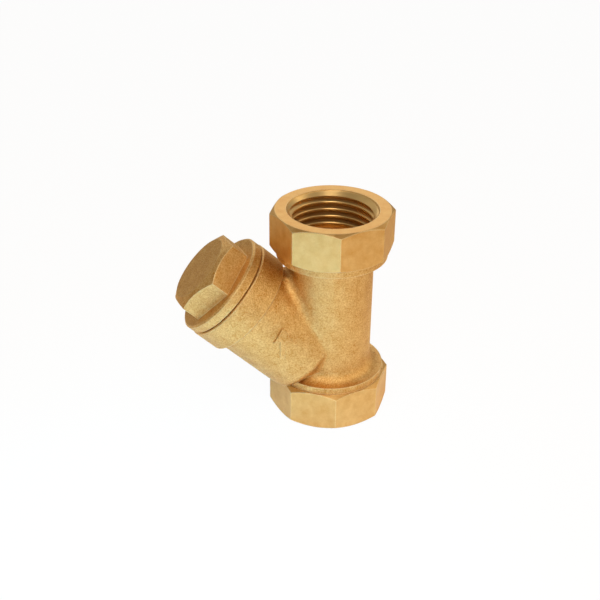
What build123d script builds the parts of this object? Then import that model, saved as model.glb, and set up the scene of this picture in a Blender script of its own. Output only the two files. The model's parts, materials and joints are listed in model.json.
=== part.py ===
from build123d import *
import os
from math import cos, pi, radians, sin

# A small brass Y-strainer. Its run stands along +Z, from the inlet port at the bottom to the outlet
# port at the top, and its branch leans up towards -X. The origin is the centre of the inlet's end face.
# Lengths are in millimetres and angles in degrees. Places along the branch are measured from the point
# where its axis crosses the run's axis.

# Run and octagonal ends
run_length = 52.0
octagon_across_flats = 27.0
octagon_height = 9.6
octagon_face_radius = 13.4
octagon_corner_drop = 0.85
collar_radius = 13.05
collar_height = 1.6
run_radius = 9.9
collar_blend_share = 0.9

# Ports, cut to the root of a G 1/2 thread, and the ways through
port_thread_root_radius = 10.4775
port_depth = 10.5
port_mouth_radius = 10.8
passage_radius = 7.5
outlet_floor_height = 24.2

# Branch
branch_angle = 48.0
branch_crossing_height = 10.0
branch_radius = 11.5
branch_inner_end = 6.6
branch_inner_round = 2.2
boss_radius = 12.85
boss_start = 26.7
boss_face = 33.2
boss_edge_chamfer = 0.25
boss_root_fill = 0.5
crotch_blend_radius = 2.0

# Ways inside the branch
flow_hole_radius = 6.5
flow_hole_start = -8.0
seat_start = 9.0
seat_depth = 2.0
chamber_radius = 9.0

# Cap and its M20 x 1.5 thread, both sides cut to the root
boss_thread_root_radius = 10.03
boss_thread_depth = 8.0
shank_thread_root_radius = 9.08
shank_length = 7.4
shank_chamfer = 0.5
recess_depth = 4.6
flange_radius = 12.67
flange_height = 2.7
flange_edge_chamfer = 0.4
hex_across_flats = 18.4
hex_height = 5.9
hex_face_radius = 8.13
hex_corner_drop = 1.45
hex_rest_turn = 45.5

# Sealing ring
gasket_thickness = 1.5
gasket_outer_radius = 11.45
gasket_inner_radius = 10.1
gasket_side_clearance = 0.1

# Screen
rim_radius = 7.45
rim_thickness = 0.45
rim_length = 1.8
rim_side_clearance = 0.15
rim_end_clearance = 0.3
rim_fit_clearance = 0.02
sheet_thickness = 0.45
window_size = 2.3
window_row_pitch = 3.4
window_columns = 13
seam_width = 2.4
seam_thickness = 0.35

# Places that follow from the sizes above
octagon_corner_radius = octagon_across_flats / 2 / cos(pi / 8)
collar_end = octagon_height + collar_height
collar_blend_radius = collar_blend_share * (collar_radius - run_radius)
seat_radius = rim_radius + rim_side_clearance
chamber_start = seat_start + seat_depth
boss_thread_start = boss_face - boss_thread_depth
gasket_start = boss_face - gasket_thickness
gasket_bore_radius = gasket_outer_radius + gasket_side_clearance
shank_end = boss_face - shank_length
recess_floor = shank_end + recess_depth
flange_face = boss_face + flange_height
hex_corner_radius = hex_across_flats / 2 / cos(pi / 6)
screen_start = seat_start
screen_end = recess_floor - rim_end_clearance
rim_inner_radius = rim_radius - rim_thickness
sleeve_outer_radius = rim_inner_radius - rim_fit_clearance
sleeve_inner_radius = sleeve_outer_radius - sheet_thickness

branch_frame = Plane(
    origin=(0, 0, branch_crossing_height),
    x_dir=(-cos(radians(branch_angle)), 0, -sin(radians(branch_angle))),
    z_dir=(-sin(radians(branch_angle)), 0, cos(radians(branch_angle))),
)
outlet_frame = Plane(origin=(0, 0, run_length), x_dir=(1, 0, 0), z_dir=(0, 0, -1))


def turned(section):
    """Solid turned about Z from a half section drawn with x as radius and y as height."""
    return revolve(Plane.XZ * section, Axis.Z)


def rod(radius, start, end):
    """Round bar along Z between two heights."""
    return Pos(0, 0, start) * Cylinder(radius, end - start, align=(Align.CENTER, Align.CENTER, Align.MIN))


def ring(outer_radius, inner_radius, start, end):
    """Flat-ended ring about Z between two heights."""
    return rod(outer_radius, start, end) - rod(inner_radius, start, end)


def octagon_end():
    """Octagonal end standing on z = 0, its corners turned off at both faces."""
    prism = extrude(RegularPolygon(octagon_corner_radius, 8), octagon_height)
    outline = [
        (0, 0),
        (octagon_face_radius, 0),
        (octagon_corner_radius, octagon_corner_drop),
        (octagon_corner_radius, octagon_height - octagon_corner_drop),
        (octagon_face_radius, octagon_height),
        (0, octagon_height),
    ]
    return prism & turned(make_face(Polyline(*outline, close=True)))


def collar():
    """Round collar behind the inlet's octagon, with a hollow blend up to the run tube."""
    blend_end = collar_end + collar_blend_radius
    outline = [
        (0, octagon_height),
        (collar_radius, octagon_height),
        (collar_radius, collar_end),
        (run_radius, collar_end),
        (run_radius, blend_end),
        (0, blend_end),
    ]
    section = make_face(Polyline(*outline, close=True))
    filling = Rectangle(collar_blend_radius, collar_blend_radius, align=Align.MIN)
    hollow = Pos(collar_blend_radius, collar_blend_radius) * Circle(collar_blend_radius)
    return turned(section + Pos(run_radius, collar_end) * (filling - hollow))


def run_and_branch():
    """Run tube and branch, with a hollow blend in the crotch between them."""
    tube = rod(run_radius, 0, run_length)
    branch = rod(branch_radius, branch_inner_end, boss_start)
    branch = branch_frame.location * fillet(branch.edges().sort_by(Axis.Z)[0], branch_inner_round)
    crotch = new_edges(tube, branch, combined=tube + branch).sort_by(Axis.Z)[-1]
    return fillet(crotch, crotch_blend_radius)


def boss():
    """Boss at the branch's mouth, along the branch's axis, its root filled and its edges chamfered."""
    outline = [
        (0, boss_start - boss_root_fill),
        (branch_radius, boss_start - boss_root_fill),
        (branch_radius + boss_root_fill, boss_start),
        (boss_radius - boss_edge_chamfer, boss_start),
        (boss_radius, boss_start + boss_edge_chamfer),
        (boss_radius, boss_face - boss_edge_chamfer),
        (boss_radius - boss_edge_chamfer, boss_face),
        (0, boss_face),
    ]
    return turned(make_face(Polyline(*outline, close=True)))


def port_way():
    """Port cut to its thread's root, with a countersunk mouth, from z = 0 upwards."""
    sink = port_mouth_radius - port_thread_root_radius
    outline = [
        (0, 0),
        (port_mouth_radius, 0),
        (port_thread_root_radius, sink),
        (port_thread_root_radius, port_depth),
        (0, port_depth),
    ]
    return turned(make_face(Polyline(*outline, close=True)))


def branch_ways():
    """Flow hole, screen seat, chamber, cap thread and gasket seat, along the branch's axis."""
    ways = rod(flow_hole_radius, flow_hole_start, chamber_start)
    ways += rod(seat_radius, seat_start, chamber_start)
    ways += rod(chamber_radius, chamber_start, boss_face)
    ways += rod(boss_thread_root_radius, boss_thread_start, boss_face)
    ways += rod(gasket_bore_radius, gasket_start, boss_face)
    return ways


def body():
    """Forged and machined body in one piece."""
    end = octagon_end() + collar()
    forging = run_and_branch() + end + outlet_frame.location * end
    forging += branch_frame.location * boss()
    forging -= port_way() + outlet_frame.location * port_way()
    forging -= rod(passage_radius, outlet_floor_height, run_length - port_depth)
    forging -= branch_frame.location * branch_ways()
    return forging


def cap():
    """Screw plug: shank with the screen's recess, round flange and hexagon head."""
    plug = rod(shank_thread_root_radius, shank_end, boss_face)
    plug = chamfer(plug.edges().sort_by(Axis.Z)[0], shank_chamfer)
    flange = rod(flange_radius, boss_face, flange_face)
    flange = chamfer(flange.edges().filter_by(GeomType.CIRCLE), flange_edge_chamfer)
    hexagon = extrude(Pos(0, 0, flange_face) * RegularPolygon(hex_corner_radius, 6), hex_height)
    outline = [
        (0, 0),
        (hex_corner_radius, 0),
        (hex_corner_radius, hex_height - hex_corner_drop),
        (hex_face_radius, hex_height),
        (0, hex_height),
    ]
    blank = Pos(0, 0, flange_face) * turned(make_face(Polyline(*outline, close=True)))
    plug += flange + Rot(0, 0, hex_rest_turn) * (hexagon & blank)
    return plug - rod(seat_radius, shank_end, recess_floor)


def cap_gasket():
    """Flat sealing ring in the boss's counterbore, under the cap's flange."""
    return ring(gasket_outer_radius, gasket_inner_radius, gasket_start, boss_face)


def screen_sleeve():
    """Rolled sheet with rows of square windows, left whole under the rims and the seam."""
    sleeve = ring(sleeve_outer_radius, sleeve_inner_radius, screen_start, screen_end)
    open_length = screen_end - screen_start - 2 * rim_length
    rows = int((open_length - window_size) / window_row_pitch)
    first = (screen_start + screen_end - rows * window_row_pitch) / 2
    punch = Box(2 * sheet_thickness, window_size, window_size)
    punch = Pos((sleeve_inner_radius + sleeve_outer_radius) / 2, 0, 0) * punch
    windows = []
    for row in range(rows + 1):
        for column in range(1, window_columns):
            turn = Rot(0, 0, 360 * column / window_columns)
            windows.append(Pos(0, 0, first + row * window_row_pitch) * turn * punch)
    return sleeve - windows


def screen_rim(start):
    """Rim ring pressed over one end of the sleeve."""
    return ring(rim_radius, rim_inner_radius, start, start + rim_length)


def screen_seam():
    """Lap strip along the sleeve, between its rims."""
    inner_radius = sleeve_outer_radius + rim_fit_clearance
    start = screen_start + rim_length + rim_fit_clearance
    end = screen_end - rim_length - rim_fit_clearance
    strip = ring(inner_radius + seam_thickness, inner_radius, start, end)
    slab = Pos(inner_radius, 0, (start + end) / 2) * Box(inner_radius, seam_width, end - start)
    return strip & slab


def write_parts():
    """Write each piece, in its place, to its own file."""
    os.makedirs("parts", exist_ok=True)
    along_branch = {
        "cap": cap(),
        "cap_gasket": cap_gasket(),
        "screen_sleeve": screen_sleeve(),
        "screen_seat_rim": screen_rim(screen_start),
        "screen_cap_rim": screen_rim(screen_end - rim_length),
        "screen_seam": screen_seam(),
    }
    pieces = {name: branch_frame.location * piece for name, piece in along_branch.items()}
    pieces["body"] = body()
    for name, piece in pieces.items():
        export_step(piece, f"parts/{name}.step")


write_parts()
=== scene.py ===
import json
import logging
from collections.abc import Callable, Iterator
from contextlib import contextmanager
from dataclasses import dataclass
from enum import Enum
from math import ceil, cos, pi, radians, sin, tan
from typing import Any

import bmesh
import bpy
from mathutils import Matrix, Vector


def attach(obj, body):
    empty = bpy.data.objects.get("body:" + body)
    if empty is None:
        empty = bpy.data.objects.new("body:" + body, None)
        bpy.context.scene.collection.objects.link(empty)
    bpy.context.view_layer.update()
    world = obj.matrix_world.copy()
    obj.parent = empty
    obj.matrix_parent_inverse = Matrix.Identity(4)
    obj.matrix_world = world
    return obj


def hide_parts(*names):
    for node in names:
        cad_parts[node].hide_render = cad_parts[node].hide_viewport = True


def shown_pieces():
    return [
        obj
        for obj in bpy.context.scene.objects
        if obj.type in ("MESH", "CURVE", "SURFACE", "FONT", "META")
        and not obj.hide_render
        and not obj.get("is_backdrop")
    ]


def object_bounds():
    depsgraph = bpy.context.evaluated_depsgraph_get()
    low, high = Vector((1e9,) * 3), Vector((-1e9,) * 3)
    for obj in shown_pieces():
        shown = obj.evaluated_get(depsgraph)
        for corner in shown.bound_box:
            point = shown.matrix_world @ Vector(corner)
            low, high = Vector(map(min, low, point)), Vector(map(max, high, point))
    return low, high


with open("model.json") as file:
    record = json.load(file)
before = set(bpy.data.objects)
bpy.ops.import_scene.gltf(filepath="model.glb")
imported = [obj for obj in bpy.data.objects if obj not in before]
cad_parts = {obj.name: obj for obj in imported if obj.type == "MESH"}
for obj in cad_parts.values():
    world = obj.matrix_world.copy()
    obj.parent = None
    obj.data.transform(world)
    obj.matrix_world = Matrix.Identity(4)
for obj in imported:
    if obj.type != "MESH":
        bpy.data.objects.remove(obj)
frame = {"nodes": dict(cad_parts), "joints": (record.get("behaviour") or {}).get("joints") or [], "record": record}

# New pieces are modelled in millimetres about the z axis, and settle() puts them in place in metres.
MM = 0.001
log = logging.getLogger("strainer")


class Level(Enum):
    """What an edit acts on."""

    VERTICES = "VERT"
    EDGES = "EDGE"
    FACES = "FACE"


class Side(Enum):
    """Which way a thread's ridge stands from its root, as the sign of its height along the radius."""

    INWARD = -1
    OUTWARD = 1


class Lights(Enum):
    """What a softbox is flagged off to light."""

    PART = "part"
    FLOOR = "floor"


def linear(hex_colour: str) -> tuple[float, float, float, float]:
    """Turns an sRGB hex value into a linear colour.

    Args:
        hex_colour: The colour as "#RRGGBB".

    Returns:
        Red, green, blue and an alpha of 1.
    """
    channels = [int(hex_colour[i : i + 2], 16) / 255 for i in (1, 3, 5)]
    red, green, blue = (c / 12.92 if c <= 0.04045 else ((c + 0.055) / 1.055) ** 2.4 for c in channels)
    return red, green, blue, 1.0


def add_node(
    owner: bpy.types.Material | bpy.types.World,
    kind: str,
    inputs: dict[str | int, Any] | None = None,
    **settings: Any,
) -> bpy.types.ShaderNode:
    """Adds one node to a material or a world, with its settings and links.

    Args:
        owner: The material or world.
        kind: The type of node.
        inputs: A value, or an output to link, for each input named or numbered.
        settings: The node's own properties.

    Returns:
        The new node.
    """
    node = owner.node_tree.nodes.new(kind)
    for name, value in settings.items():
        setattr(node, name, value)
    for name, value in (inputs or {}).items():
        if isinstance(value, bpy.types.NodeSocket):
            owner.node_tree.links.new(value, node.inputs[name])
        else:
            node.inputs[name].default_value = value
    return node


def pick(*pieces: bpy.types.Object) -> None:
    """Selects these pieces and nothing else, the first of them active."""
    bpy.ops.object.select_all(action="DESELECT")
    for piece in pieces:
        piece.select_set(True)
    bpy.context.view_layer.objects.active = pieces[0]


@contextmanager
def editing(piece: bpy.types.Object) -> Iterator[None]:
    """Edit mode on one piece, with none of its mesh selected at the start."""
    pick(piece)
    bpy.ops.object.mode_set(mode="EDIT")
    bpy.ops.mesh.select_all(action="DESELECT")
    yield
    bpy.ops.object.mode_set(mode="OBJECT")


def select_where(piece: bpy.types.Object, level: Level, test: Callable[[Vector], bool]) -> None:
    """Selects, in edit mode, what has its middle where a test says.

    Args:
        piece: The piece being edited, with nothing selected.
        level: Whether vertices, edges or faces are chosen.
        test: Takes the middle of each and says whether it is chosen.
    """
    bpy.ops.mesh.select_mode(type=level.value)
    mesh = bmesh.from_edit_mesh(piece.data)
    if level is Level.VERTICES:
        chosen = [vertex for vertex in mesh.verts if test(vertex.co)]
    else:
        parts = mesh.edges if level is Level.EDGES else mesh.faces
        chosen = [part for part in parts if test(sum((v.co for v in part.verts), Vector()) / len(part.verts))]
    for part in chosen:
        part.select_set(True)
    mesh.select_flush(True)
    bmesh.update_edit_mesh(piece.data)


def apply_modifier(piece: bpy.types.Object, kind: str, **settings: Any) -> None:
    """Adds a modifier with its settings and applies it."""
    modifier = piece.modifiers.new(kind.lower(), kind)
    for name, value in settings.items():
        setattr(modifier, name, value)
    pick(piece)
    bpy.ops.object.modifier_apply(modifier=modifier.name)


def named(name: str) -> bpy.types.Object:
    """Names the primitive that was just added, and applies its turn, place and scale."""
    piece = bpy.context.object
    piece.name = name
    piece.data.name = name
    bpy.ops.object.transform_apply(location=True, rotation=True, scale=True)
    return piece


def upright_plane(name: str, middle: tuple[float, float, float], width: float, height: float) -> bpy.types.Object:
    """Rectangle in the xz plane, of that width and height, about its middle."""
    bpy.ops.mesh.primitive_plane_add(size=1, location=middle, rotation=(pi / 2, 0, 0))
    bpy.context.object.scale = (width, height, 1)
    return named(name)


def settle(piece: bpy.types.Object, place: Matrix, body: str, material: bpy.types.Material) -> None:
    """Puts a finished piece in place, in metres, on the body that carries it.

    Args:
        piece: The piece, modelled in millimetres.
        place: Where its origin and axes go, in metres.
        body: The body that it moves with.
        material: Its finish.
    """
    piece.matrix_world = place @ Matrix.Scale(MM, 4)
    pick(piece)
    bpy.ops.object.transform_apply(location=True, rotation=True, scale=True)
    bpy.ops.object.shade_smooth_by_angle(angle=radians(35))
    piece.data.materials.clear()
    piece.data.materials.append(material)
    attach(piece, body)
    log.info("%s: %d faces on %s", piece.name, len(piece.data.polygons), body)


def dress(node: str, material: bpy.types.Material) -> None:
    """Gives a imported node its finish."""
    for slot in frame["nodes"][node].material_slots:
        slot.material = material
    log.info("%s: dressed in %s", node, material.name)


@dataclass(frozen=True)
class BranchLine:
    """Line that the branch, the cap and the screen lie on, read from the cap's own joint.

    Distances along it are in millimetres, inwards from the boss's face.
    """

    joint: str = "cap_turn"

    def place(self, inwards: float, turn: float = 0.0) -> Matrix:
        """Place on the line, with z pointing out of the branch and y towards the front.

        Args:
            inwards: How far inside the boss's face it lies.
            turn: Degrees turned about the line.

        Returns:
            The place, in metres.
        """
        joint = next(j for j in frame["joints"] if j["name"] == self.joint)
        outwards = Vector(joint["axis"]).normalized()
        front = Vector((0, -1, 0))
        axes = Matrix((front.cross(outwards), front, outwards)).transposed().to_4x4()
        middle = Matrix.Translation(Vector(joint["pos_m"]) - inwards * MM * outwards)
        return middle @ axes @ Matrix.Rotation(radians(turn), 4, "Z")


@dataclass(frozen=True)
class BlastedBrass:
    """Hot-forged brass, shot-blasted to a satin skin.

    The shot leaves close, shallow dimples that scatter the light, so the skin looks sandy and softly
    shaded. Convex edges are drawn paler, partly as rubbed metal and partly as a painted edge highlight,
    and creases found by ambient occlusion, with the pits, are drawn browner as painted shade.
    """

    name: str = "hot_forged_shot_blasted_brass"
    pale: str = "#F5D597"
    tan: str = "#C98C42"
    # Brown of the painted shade, drawn in creases found by ambient occlusion and in the pits.
    hollow: str = "#94652F"
    # Pale of the convex edges, partly rubbed metal and partly a painted edge highlight.
    rubbed: str = "#F7E2B2"
    roughness: float = 0.42
    # Shot dimples are about 0.15 mm across, and drawn at 0.35 mm so that they show.
    grit: float = 0.35
    relief: float = 0.17
    bloom: float = 2.4
    pit_spacing: float = 6.5
    pit_radius: float = 0.22
    edge_radius: float = 0.3

    def skin(self, material: bpy.types.Material, smooth: bpy.types.NodeSocket | float) -> None:
        """Builds the shading of the skin.

        Args:
            material: The material to build it in.
            smooth: How machined the surface is, from 0, blasted, to 1, smooth.
        """
        coords = add_node(material, "ShaderNodeTexCoord").outputs["Object"]
        grit = add_node(
            material,
            "ShaderNodeTexNoise",
            {"Vector": coords, "Scale": 1 / (self.grit * MM), "Detail": 3.0, "Roughness": 0.65},
        )
        bloom = add_node(
            material,
            "ShaderNodeTexNoise",
            {"Vector": coords, "Scale": 1 / (self.bloom * MM), "Detail": 4.0, "Roughness": 0.55},
        )
        blasted = add_node(material, "ShaderNodeMath", {0: 1.0, 1: smooth}, operation="SUBTRACT")
        blasted = add_node(material, "ShaderNodeMapRange", {"Value": blasted.outputs[0], "To Min": 0.15})
        darkest = add_node(material, "ShaderNodeMapRange", {"Value": blasted.outputs[0], "To Min": 0.5, "To Max": 0.0})
        lightest = add_node(material, "ShaderNodeMapRange", {"Value": blasted.outputs[0], "To Min": 0.5, "To Max": 1.0})
        speckle = add_node(
            material,
            "ShaderNodeMapRange",
            {
                "Value": grit.outputs["Fac"],
                "From Min": 0.36,
                "From Max": 0.64,
                "To Min": darkest.outputs[0],
                "To Max": lightest.outputs[0],
            },
        )
        cells = add_node(
            material, "ShaderNodeTexVoronoi", {"Vector": coords, "Scale": 1 / (self.pit_spacing * MM)}
        )
        edge = self.pit_radius / self.pit_spacing
        pits = add_node(
            material,
            "ShaderNodeMapRange",
            {
                "Value": cells.outputs["Distance"],
                "From Min": 0.6 * edge,
                "From Max": edge,
                "To Min": blasted.outputs[0],
                "To Max": 0.0,
            },
        )
        patch = add_node(
            material, "ShaderNodeMapRange", {"Value": bloom.outputs["Fac"], "From Min": 0.3, "From Max": 0.7}
        )
        tone = add_node(
            material,
            "ShaderNodeMix",
            {0: 0.35, 2: speckle.outputs[0], 3: patch.outputs[0]},
            data_type="FLOAT",
        )
        colour = add_node(
            material,
            "ShaderNodeMix",
            {0: tone.outputs[0], 6: linear(self.tan), 7: linear(self.pale)},
            data_type="RGBA",
        )
        # Painted shade: the colour turns brown in creases found by ambient occlusion and in the pits.
        shelter = add_node(
            material, "ShaderNodeAmbientOcclusion", {"Distance": 1.2 * MM}, samples=8, only_local=False
        )
        shelter = add_node(
            material,
            "ShaderNodeMapRange",
            {"Value": shelter.outputs["AO"], "From Min": 0.2, "From Max": 0.7, "To Min": 0.35, "To Max": 0.0},
        )
        shelter = add_node(
            material, "ShaderNodeMath", {0: shelter.outputs[0], 1: pits.outputs[0]}, operation="ADD", use_clamp=True
        )
        colour = add_node(
            material,
            "ShaderNodeMix",
            {0: shelter.outputs[0], 6: colour.outputs[2], 7: linear(self.hollow)},
            data_type="RGBA",
        )
        soft_edge = add_node(material, "ShaderNodeBevel", {"Radius": self.edge_radius * MM}, samples=6)
        true_edge = add_node(material, "ShaderNodeNewGeometry")
        match = add_node(
            material,
            "ShaderNodeVectorMath",
            {0: soft_edge.outputs[0], 1: true_edge.outputs["Normal"]},
            operation="DOT_PRODUCT",
        )
        # Painted edge highlight, partly rubbed metal: convex edges found by the bevel turn paler, except where the
        # painted shade lies.
        rub = add_node(
            material,
            "ShaderNodeMapRange",
            {"Value": match.outputs["Value"], "From Min": 0.992, "From Max": 0.945, "To Max": 0.9},
        )
        open_rub = add_node(
            material, "ShaderNodeMath", {0: rub.outputs[0], 1: shelter.outputs[0]}, operation="SUBTRACT", use_clamp=True
        )
        colour = add_node(
            material,
            "ShaderNodeMix",
            {0: open_rub.outputs[0], 6: colour.outputs[2], 7: linear(self.rubbed)},
            data_type="RGBA",
        )
        roughness = add_node(
            material,
            "ShaderNodeMapRange",
            {"Value": patch.outputs[0], "To Min": self.roughness - 0.04, "To Max": self.roughness + 0.05},
        )
        height = add_node(material, "ShaderNodeMath", {0: grit.outputs["Fac"], 1: pits.outputs[0]}, operation="SUBTRACT")
        bump = add_node(
            material,
            "ShaderNodeBump",
            {
                "Height": height.outputs[0],
                "Strength": blasted.outputs[0],
                "Distance": self.relief * MM,
                "Normal": soft_edge.outputs[0],
            },
        )
        add_node(
            material,
            "ShaderNodeOutputMaterial",
            {
                "Surface": add_node(
                    material,
                    "ShaderNodeBsdfPrincipled",
                    {
                        "Base Color": colour.outputs[2],
                        "Metallic": 1.0,
                        "Roughness": roughness.outputs[0],
                        "Normal": bump.outputs[0],
                    },
                ).outputs[0]
            },
        )

    def material(self) -> bpy.types.Material:
        """The finish on a piece that is blasted all over."""
        material = blank_material(self.name)
        self.skin(material, 0.0)
        return material


@dataclass(frozen=True)
class FacedBrass(BlastedBrass):
    """Blasted brass whose two octagonal ends are milled and faced, so that they reflect more evenly."""

    name: str = "forged_brass_with_faced_ends"
    run_length: float = 52.0
    octagon_height: float = 9.6

    def material(self) -> bpy.types.Material:
        """The finish on the body, smooth on its octagons and blasted between them."""
        material = blank_material(self.name)
        coords = add_node(material, "ShaderNodeTexCoord").outputs["Object"]
        height = add_node(material, "ShaderNodeSeparateXYZ", {0: coords}).outputs["Z"]
        half = self.run_length * MM / 2
        from_middle = add_node(material, "ShaderNodeMath", {0: height, 1: half}, operation="SUBTRACT")
        from_middle = add_node(material, "ShaderNodeMath", {0: from_middle.outputs[0]}, operation="ABSOLUTE")
        inner = half - self.octagon_height * MM
        faced = add_node(
            material,
            "ShaderNodeMapRange",
            {"Value": from_middle.outputs[0], "From Min": inner, "From Max": inner + 0.1 * MM},
        )
        self.skin(material, faced.outputs[0])
        return material


@dataclass(frozen=True)
class TurnedBrass:
    """Brass cut on a lathe, left bright.

    The tool leaves fine marks round the axis, so the light is drawn out across them.
    """

    name: str = "turned_brass"
    colour: str = "#E9C68A"
    roughness: float = 0.3

    def material(self) -> bpy.types.Material:
        """The finish on threads."""
        material = blank_material(self.name)
        coords = add_node(material, "ShaderNodeTexCoord").outputs["Object"]
        # Tool marks are about 0.05 mm apart, and drawn at 0.2 mm so that they show.
        marks = add_node(
            material, "ShaderNodeTexNoise", {"Vector": coords, "Scale": 1 / (0.2 * MM), "Detail": 2.0}
        )
        bump = add_node(
            material,
            "ShaderNodeBump",
            {"Height": marks.outputs["Fac"], "Strength": 0.3, "Distance": 0.01 * MM},
        )
        shader = add_node(
            material,
            "ShaderNodeBsdfPrincipled",
            {
                "Base Color": linear(self.colour),
                "Metallic": 1.0,
                "Roughness": self.roughness,
                "Normal": bump.outputs[0],
            },
        )
        add_node(material, "ShaderNodeOutputMaterial", {"Surface": shader.outputs[0]})
        return material


@dataclass(frozen=True)
class RolledSteel:
    """Stainless steel sheet, cold-rolled and pickled, grey and a little streaky."""

    name: str = "cold_rolled_stainless_steel"
    light: str = "#C9C8C4"
    dark: str = "#A3A29E"
    roughness: float = 0.34

    def material(self) -> bpy.types.Material:
        """The finish on the screen's sheet and rims."""
        material = blank_material(self.name)
        coords = add_node(material, "ShaderNodeTexCoord").outputs["Object"]
        streak = add_node(
            material, "ShaderNodeTexNoise", {"Vector": coords, "Scale": 1 / (0.6 * MM), "Detail": 4.0}
        )
        colour = add_node(
            material,
            "ShaderNodeMix",
            {0: streak.outputs["Fac"], 6: linear(self.dark), 7: linear(self.light)},
            data_type="RGBA",
        )
        bump = add_node(
            material,
            "ShaderNodeBump",
            {"Height": streak.outputs["Fac"], "Strength": 0.25, "Distance": 0.01 * MM},
        )
        shader = add_node(
            material,
            "ShaderNodeBsdfPrincipled",
            {
                "Base Color": colour.outputs[2],
                "Metallic": 1.0,
                "Roughness": self.roughness,
                "Normal": bump.outputs[0],
            },
        )
        add_node(material, "ShaderNodeOutputMaterial", {"Surface": shader.outputs[0]})
        return material


@dataclass(frozen=True)
class MouldedRubber:
    """Nitrile rubber, moulded, black with a dusty bloom and a soft sheen."""

    name: str = "moulded_nitrile_rubber"
    black: str = "#1E1D1B"
    dusty: str = "#34322E"
    roughness: float = 0.62

    def material(self) -> bpy.types.Material:
        """The finish on the sealing ring."""
        material = blank_material(self.name)
        coords = add_node(material, "ShaderNodeTexCoord").outputs["Object"]
        dust = add_node(
            material, "ShaderNodeTexNoise", {"Vector": coords, "Scale": 1 / (0.8 * MM), "Detail": 5.0}
        )
        colour = add_node(
            material,
            "ShaderNodeMix",
            {0: dust.outputs["Fac"], 6: linear(self.black), 7: linear(self.dusty)},
            data_type="RGBA",
        )
        bump = add_node(
            material,
            "ShaderNodeBump",
            {"Height": dust.outputs["Fac"], "Strength": 0.3, "Distance": 0.02 * MM},
        )
        shader = add_node(
            material,
            "ShaderNodeBsdfPrincipled",
            {"Base Color": colour.outputs[2], "Roughness": self.roughness, "Normal": bump.outputs[0]},
        )
        add_node(material, "ShaderNodeOutputMaterial", {"Surface": shader.outputs[0]})
        return material


def blank_material(name: str) -> bpy.types.Material:
    """An empty node material of that name."""
    material = bpy.data.materials.new(name)
    material.use_nodes = True
    material.node_tree.nodes.clear()
    return material


@dataclass(frozen=True)
class ThreadRidge:
    """Helical ridge of a cut thread, with its mouth at z = 0 and the rest below it.

    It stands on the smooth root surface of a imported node, a little sunk into it.
    """

    name: str
    side: Side
    pitch: float
    root_radius: float
    crest_radius: float
    crest_width: float
    flank_angle: float
    length: float
    mouth_radius: float
    sunk: float = 0.1
    steps: int = 96
    rim_steps: int = 120

    def model(self) -> bpy.types.Object:
        """Models the ridge, cut off where its mouth and its end are countersunk."""
        base_radius = self.root_radius - self.side.value * self.sunk
        height = abs(self.crest_radius - base_radius)
        base_width = self.crest_width + 2 * height * tan(radians(self.flank_angle))
        middle = ((base_radius + self.crest_radius) / 2, 0, -self.length - self.pitch)
        ridge = upright_plane(self.name, middle, height, base_width)
        with editing(ridge):
            select_where(ridge, Level.VERTICES, lambda p: abs(p.x - self.crest_radius) < 0.01)
            bpy.ops.transform.resize(
                value=(1, 1, self.crest_width / base_width),
                center_override=(self.crest_radius, 0, -self.length - self.pitch),
            )
            bpy.ops.mesh.bevel(offset=0.4 * self.crest_width, segments=3, affect="VERTICES")
            bpy.ops.mesh.select_all(action="SELECT")
            bpy.ops.mesh.delete(type="ONLY_FACE")
        turns = ceil(self.length / self.pitch) + 2
        apply_modifier(
            ridge,
            "SCREW",
            axis="Z",
            angle=2 * pi,
            screw_offset=self.pitch,
            iterations=turns,
            steps=self.steps,
            render_steps=self.steps,
        )
        with editing(ridge):
            bpy.ops.mesh.select_mode(type="EDGE")
            bpy.ops.mesh.select_non_manifold()
            bpy.ops.mesh.fill_holes(sides=0)
            bpy.ops.mesh.select_all(action="SELECT")
            bpy.ops.mesh.remove_doubles(threshold=0.0001)
            bpy.ops.mesh.normals_make_consistent(inside=False)
        envelope = self.envelope()
        apply_modifier(ridge, "BOOLEAN", operation="INTERSECT", object=envelope, solver="EXACT")
        bpy.data.objects.remove(envelope)
        with editing(ridge):
            bpy.ops.mesh.select_all(action="SELECT")
            bpy.ops.mesh.remove_doubles(threshold=0.002)
            bpy.ops.mesh.dissolve_degenerate(threshold=0.001)
            bpy.ops.mesh.normals_make_consistent(inside=False)
        return ridge

    def envelope(self) -> bpy.types.Object:
        """Turned solid that the ridge is cut to, with slanted ends."""
        inwards = self.side is Side.INWARD
        outer = self.root_radius + 2 * self.sunk if inwards else self.crest_radius + 0.05
        inner = self.crest_radius - 0.1 if inwards else self.root_radius - 2 * self.sunk
        top = outer - self.mouth_radius if inwards else 0.0
        bpy.ops.mesh.primitive_cylinder_add(
            vertices=self.rim_steps,
            radius=outer,
            depth=self.length + top,
            location=(0, 0, (top - self.length) / 2),
        )
        envelope = named(f"{self.name}_envelope")
        ends = (top, -self.length)
        with editing(envelope):
            for end in ends:
                bpy.ops.mesh.select_all(action="DESELECT")
                if inwards:
                    select_where(envelope, Level.FACES, lambda p: abs(p.z - end) < 0.001)
                    bpy.ops.mesh.inset(thickness=outer - inner, depth=inner - outer)
                else:
                    select_where(envelope, Level.EDGES, lambda p: abs(p.z - end) < 0.001)
                    bpy.ops.mesh.bevel(offset=outer - inner, segments=1, affect="EDGES")
        return envelope


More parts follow.
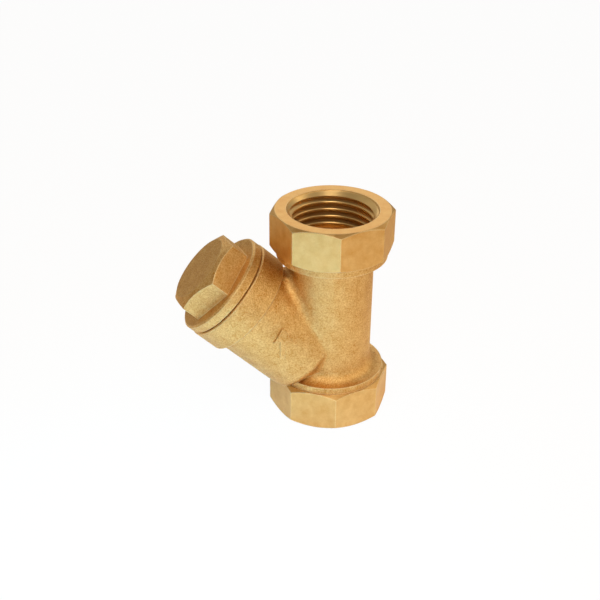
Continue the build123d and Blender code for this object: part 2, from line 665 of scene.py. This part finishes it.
@dataclass(frozen=True)
class FlowArrow:
    """Arrow raised on the branch's side, that shows which way the flow goes up the run."""

    name: str = "flow_arrow"
    branch_radius: float = 11.5
    length: float = 7.5
    shaft_width: float = 1.3
    head_width: float = 4.4
    head_length: float = 3.2
    relief: float = 0.45
    rounding: float = 0.12
    sunk: float = 0.3
    inwards: float = 15.15
    around: float = 7.9
    lean: float = 48.0

    def place(self, line: BranchLine) -> Matrix:
        """Place of the arrow's foot on the branch, its y pointing at the branch's axis."""
        foot = Matrix.Translation((0, (self.sunk - self.branch_radius) * MM, 0))
        return line.place(self.inwards, turn=180 + self.around) @ foot

    def model(self) -> bpy.types.Object:
        """Models the arrow flat, leaned to point up the run, then wrapped on the branch's radius."""
        shaft = self.length - self.head_length
        neck = shaft - self.length / 2
        arrow = upright_plane(self.name, (0, 0, (shaft - self.length) / 2), self.shaft_width, shaft)
        with editing(arrow):
            select_where(arrow, Level.EDGES, lambda p: abs(p.z - neck) < 0.001)
            bpy.ops.mesh.extrude_region_move()
            bpy.ops.transform.resize(value=(self.head_width / self.shaft_width, 1, 1), center_override=(0, 0, neck))
            bpy.ops.mesh.extrude_region_move(TRANSFORM_OT_translate={"value": (0, 0, self.head_length)})
            bpy.ops.transform.resize(value=(0.1, 1, 1), center_override=(0, 0, self.length / 2))
            bpy.ops.mesh.select_all(action="SELECT")
            bpy.ops.mesh.dissolve_degenerate(threshold=0.001)
            bpy.ops.mesh.dissolve_limited(angle_limit=radians(1))
            bpy.ops.mesh.select_all(action="SELECT")
            bpy.ops.transform.rotate(value=-radians(self.lean), orient_axis="Y", center_override=(0, 0, 0))
            bpy.ops.mesh.extrude_region_move(TRANSFORM_OT_translate={"value": (0, -self.relief - self.sunk, 0)})
            bpy.ops.mesh.select_all(action="SELECT")
            bpy.ops.mesh.normals_make_consistent(inside=False)
            bpy.ops.mesh.select_all(action="DESELECT")
            rim = -self.relief - self.sunk
            select_where(arrow, Level.EDGES, lambda p: abs(p.y - rim) < 0.001)
            bpy.ops.mesh.bevel(offset=self.rounding, segments=1, affect="EDGES")
        width = arrow.dimensions.x
        with editing(arrow):
            for step in range(1, 8):
                bpy.ops.mesh.select_all(action="SELECT")
                bpy.ops.mesh.bisect(plane_co=((step / 8 - 0.5) * width, 0, 0), plane_no=(1, 0, 0))
        apply_modifier(
            arrow, "SIMPLE_DEFORM", deform_method="BEND", deform_axis="Z", angle=width / (self.branch_radius - self.sunk)
        )
        return arrow


@dataclass(frozen=True)
class ForgedBody:
    """The forged body, with the threads cut in its two ports and its boss, and its flow arrow."""

    body: str = "housing"
    slot: str = "forged_brass"
    run_length: float = 52.0
    port_pitch: float = 1.814
    port_crest_radius: float = 9.3155
    port_mouth_radius: float = 10.8
    boss_thread_inwards: float = 1.5
    boss_thread_length: float = 6.5
    cap_pitch: float = 1.5

    def build(self, line: BranchLine) -> None:
        """Models the threads and the arrow, and dresses the body."""
        skin = FacedBrass().material()
        turned = TurnedBrass().material()
        dress("body", skin)
        outlet = self.port_thread("outlet_thread").model()
        pick(outlet)
        bpy.ops.object.duplicate()
        inlet = named("inlet_thread")
        settle(outlet, Matrix.Translation((0, 0, self.run_length * MM)), self.body, turned)
        settle(inlet, Matrix.Rotation(pi, 4, "X"), self.body, turned)
        arrow = FlowArrow()
        crisp = BlastedBrass(name="blasted_brass_with_crisp_edges", edge_radius=0.1).material()
        settle(arrow.model(), arrow.place(line), self.body, crisp)
        boss = ThreadRidge(
            name="boss_thread",
            side=Side.INWARD,
            pitch=self.cap_pitch,
            root_radius=10.03,
            crest_radius=9.19,
            crest_width=0.36,
            flank_angle=30,
            length=self.boss_thread_length,
            mouth_radius=10.25,
        )
        settle(boss.model(), line.place(self.boss_thread_inwards), self.body, turned)

    def port_thread(self, name: str) -> ThreadRidge:
        """The ridge of a G 1/2 pipe thread, on the root radius of the inlet's mount."""
        mount = next(m for m in frame["record"]["mounts"] if m["name"] == "inlet_port")
        return ThreadRidge(
            name=name,
            side=Side.INWARD,
            pitch=self.port_pitch,
            root_radius=mount["dims"]["r_mm"],
            crest_radius=self.port_crest_radius,
            crest_width=0.3,
            flank_angle=27.5,
            length=10.3,
            mouth_radius=self.port_mouth_radius,
        )


@dataclass(frozen=True)
class ScrewCap:
    """The screw cap, with the thread on its shank."""

    body: str = "plug"
    slot: str = "cap_brass"
    thread_inwards: float = 0.5
    # Puts the ridge in the middle of the boss's groove.
    thread_turn: float = 84.0

    def build(self, line: BranchLine) -> None:
        """Models the shank's thread and dresses the cap."""
        dress("cap", BlastedBrass(name="blasted_cap_brass").material())
        shank = ThreadRidge(
            name="shank_thread",
            side=Side.OUTWARD,
            pitch=1.5,
            root_radius=9.08,
            crest_radius=9.95,
            crest_width=0.19,
            flank_angle=30,
            length=6.4,
            mouth_radius=9.95,
        )
        turned = TurnedBrass(name="turned_cap_brass").material()
        place = line.place(self.thread_inwards, turn=self.thread_turn)
        settle(shank.model(), place, self.body, turned)


@dataclass(frozen=True)
class Screen:
    """The removable screen: a perforated sheet rolled into a sleeve, its two rims and its seam."""

    body: str = "screen"
    slot: str = "screen_steel"
    outer_radius: float = 6.98
    sheet: float = 0.45
    start_inwards: float = 24.2
    length: float = 21.1
    band: float = 1.8
    hole_radius: float = 0.42
    columns: int = 44
    rows: int = 18

    def build(self, line: BranchLine) -> None:
        """Models the perforated sleeve and dresses the rims and the seam."""
        steel = RolledSteel().material()
        for node in ("screen_seat_rim", "screen_cap_rim", "screen_seam"):
            dress(node, steel)
        sleeve = self.sleeve()
        settle(sleeve, line.place(self.start_inwards, turn=-90), self.body, steel)
        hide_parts("screen_sleeve")

    def sleeve(self) -> bpy.types.Object:
        """Models the sheet flat, with staggered holes and plain bands at its ends, and rolls it up."""
        width = 2 * pi * self.outer_radius
        bpy.ops.mesh.primitive_grid_add(
            x_subdivisions=self.columns,
            y_subdivisions=self.rows,
            size=1,
            location=(0, 0, self.length / 2),
            rotation=(pi / 2, 0, 0),
        )
        bpy.context.object.scale = (width, self.length - 2 * self.band, 1)
        sleeve = named("perforated_sleeve")
        across = width / self.columns
        along = (self.length - 2 * self.band) / self.rows

        def holed(p: Vector) -> bool:
            """Every other crossing of the grid, away from its borders."""
            column = round((p.x + width / 2) / across)
            row = round((p.z - self.band) / along)
            return 0 < column < self.columns and 0 < row < self.rows and (column + row) % 2 == 1

        with editing(sleeve):
            select_where(sleeve, Level.VERTICES, holed)
            bpy.ops.mesh.bevel(offset=self.hole_radius, segments=2, affect="VERTICES")
            bpy.ops.mesh.select_mode(type="FACE")
            bpy.ops.mesh.delete(type="FACE")
            for end in (self.band, self.length - self.band):
                bpy.ops.mesh.select_all(action="DESELECT")
                select_where(sleeve, Level.EDGES, lambda p: abs(p.z - end) < 0.001)
                out = -self.band if end < self.length / 2 else self.band
                bpy.ops.mesh.extrude_region_move(TRANSFORM_OT_translate={"value": (0, 0, out)})
        apply_modifier(sleeve, "SIMPLE_DEFORM", deform_method="BEND", deform_axis="Z", angle=2 * pi)
        with editing(sleeve):
            bpy.ops.mesh.select_all(action="SELECT")
            bpy.ops.mesh.remove_doubles(threshold=0.01)
            bpy.ops.mesh.normals_make_consistent(inside=False)
            bpy.ops.transform.translate(value=(0, -self.outer_radius, 0))
        apply_modifier(sleeve, "SOLIDIFY", thickness=self.sheet, offset=-1.0)
        return sleeve


@dataclass(frozen=True)
class Seal:
    """The sealing ring under the cap."""

    def build(self) -> None:
        """Dresses the ring."""
        dress("cap_gasket", MouldedRubber().material())


@dataclass(frozen=True)
class Softbox:
    """Square soft lamp, in metres and watts, flagged off so that it lights only the part or the floor."""

    name: str
    place: tuple[float, float, float]
    aim: tuple[float, float, float]
    size: float
    power: float
    colour: str
    lights: Lights
    spread: float = 180.0

    def build(self, floor: bpy.types.Object) -> None:
        """Adds the lamp, facing its aim."""
        bpy.ops.object.light_add(type="AREA", location=self.place)
        lamp = bpy.context.object
        lamp.name = self.name
        lamp.data.shape = "SQUARE"
        lamp.data.size = self.size
        lamp.data.energy = self.power
        lamp.data.spread = radians(self.spread)
        lamp.data.color = linear(self.colour)[:3]
        lamp.visible_camera = False
        back = Vector(self.place) - Vector(self.aim)
        lamp.rotation_euler = back.to_track_quat("Z", "Y").to_euler()
        lit = bpy.data.collections.new(f"lit_by_{self.name}")
        for piece in (floor,) if self.lights is Lights.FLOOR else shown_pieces():
            lit.objects.link(piece)
        lamp.light_linking.receiver_collection = lit


@dataclass(frozen=True)
class Studio:
    """Pale floor, grey surroundings, soft lamps and the camera at the photograph's angle."""

    horizon: str = "#8C8472"
    walls: str = "#C4BCA8"
    ceiling: str = "#6E675C"
    shoulder: float = 0.55
    paper: str = "#F2E0C4"
    seen_white: float = 0.96
    azimuth: float = -5.826
    elevation: float = 29.523
    roll: float = 0.653
    lens: float = 63.313
    eye: tuple[float, float, float] = (-0.029604, -0.218137, 0.152477)
    softboxes: tuple[Softbox, ...] = (
        Softbox("back_softbox", (0.05, 0.52, 0.36), (0.0, 0.0, 0.04), 0.52, 0.62, "#FFF5E4", Lights.PART),
        Softbox("right_softbox", (0.42, -0.04, 0.2), (0.0, 0.0, 0.03), 0.35, 0.5, "#FFE6BC", Lights.PART),
        Softbox("front_softbox", (0.0, -0.3, 0.36), (0.0, 0.0, 0.04), 0.2, 0.8, "#FFF0D8", Lights.PART),
        Softbox("floor_softbox", (0.05, 0.0, 0.45), (0.0, 0.0, 0.0), 0.4, 0.7, "#FFEACC", Lights.FLOOR),
        Softbox("front_floor_softbox", (0.0, -0.25, 0.25), (0.0, -0.08, 0.0), 0.15, 0.13, "#F4FAFF", Lights.FLOOR, 60.0),
        Softbox("left_floor_softbox", (-0.12, -0.17, 0.16), (-0.05, -0.075, 0.0), 0.06, 0.12, "#3CB2FF", Lights.FLOOR, 50.0),
    )

    def build(self) -> None:
        """Builds the floor, the surroundings, the lamps and the camera."""
        floor = self.floor()
        self.world()
        for softbox in self.softboxes:
            softbox.build(floor)
        self.camera()
        bpy.context.scene.view_settings.view_transform = "Standard"

    def floor(self) -> bpy.types.Object:
        """Pale floor under the part, white to the eye and matt to the lamps.

        Returns:
            The floor.
        """
        bpy.ops.mesh.primitive_circle_add(vertices=96, radius=3, fill_type="NGON", location=(0, 0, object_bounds()[0].z))
        floor = named("floor")
        material = blank_material("white_paper_floor")
        light_path = add_node(material, "ShaderNodeLightPath")
        seen = add_node(
            material,
            "ShaderNodeMath",
            {0: light_path.outputs["Is Camera Ray"], 1: self.seen_white},
            operation="MULTIPLY",
        )
        matt = add_node(material, "ShaderNodeBsdfDiffuse", {"Color": linear(self.paper)})
        white = add_node(material, "ShaderNodeEmission", {"Color": (1.0, 1.0, 1.0, 1.0), "Strength": 1.0})
        mix = add_node(
            material, "ShaderNodeMixShader", {0: seen.outputs[0], 1: matt.outputs[0], 2: white.outputs[0]}
        )
        add_node(material, "ShaderNodeOutputMaterial", {"Surface": mix.outputs[0]})
        floor.data.materials.append(material)
        floor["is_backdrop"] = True
        return floor

    def world(self) -> None:
        """Grey surroundings, palest halfway up the walls and dark at the ceiling."""
        world = bpy.data.worlds.new("grey_surroundings")
        world.use_nodes = True
        world.node_tree.nodes.clear()
        coords = add_node(world, "ShaderNodeTexCoord").outputs["Generated"]
        height = add_node(world, "ShaderNodeSeparateXYZ", {0: coords}).outputs["Z"]
        lower = add_node(world, "ShaderNodeMapRange", {"Value": height, "From Max": self.shoulder})
        upper = add_node(world, "ShaderNodeMapRange", {"Value": height, "From Min": self.shoulder})
        grey = add_node(
            world,
            "ShaderNodeMix",
            {0: lower.outputs[0], 6: linear(self.horizon), 7: linear(self.walls)},
            data_type="RGBA",
        )
        grey = add_node(
            world,
            "ShaderNodeMix",
            {0: upper.outputs[0], 6: grey.outputs[2], 7: linear(self.ceiling)},
            data_type="RGBA",
        )
        background = add_node(world, "ShaderNodeBackground", {"Color": grey.outputs[2], "Strength": 1.0})
        add_node(world, "ShaderNodeOutputWorld", {"Surface": background.outputs[0]})
        bpy.context.scene.world = world

    def camera(self) -> None:
        """Camera at the photograph's angle."""
        azimuth, elevation, roll = (radians(a) for a in (self.azimuth, self.elevation, self.roll))
        back = Vector(
            (sin(azimuth) * cos(elevation), -cos(azimuth) * cos(elevation), sin(elevation))
        )
        level = Vector((cos(azimuth), sin(azimuth), 0))
        upright = back.cross(level)
        right = cos(roll) * level + sin(roll) * upright
        up = -sin(roll) * level + cos(roll) * upright
        bpy.ops.object.camera_add()
        camera = bpy.context.object
        camera.name = "photograph_camera"
        camera.data.lens = self.lens
        camera.data.sensor_width = 36.0
        camera.data.sensor_fit = "HORIZONTAL"
        camera.matrix_world = Matrix.Translation(self.eye) @ Matrix((right, up, back)).transposed().to_4x4()
        bpy.context.scene.camera = camera


def main() -> None:
    """Builds the pieces and the studio."""
    logging.basicConfig(level=logging.INFO, format="%(message)s")
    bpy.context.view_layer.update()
    line = BranchLine()
    ForgedBody().build(line)
    ScrewCap().build(line)
    Seal().build()
    Screen().build(line)
    Studio().build()


if __name__ == "__main__":
    main()
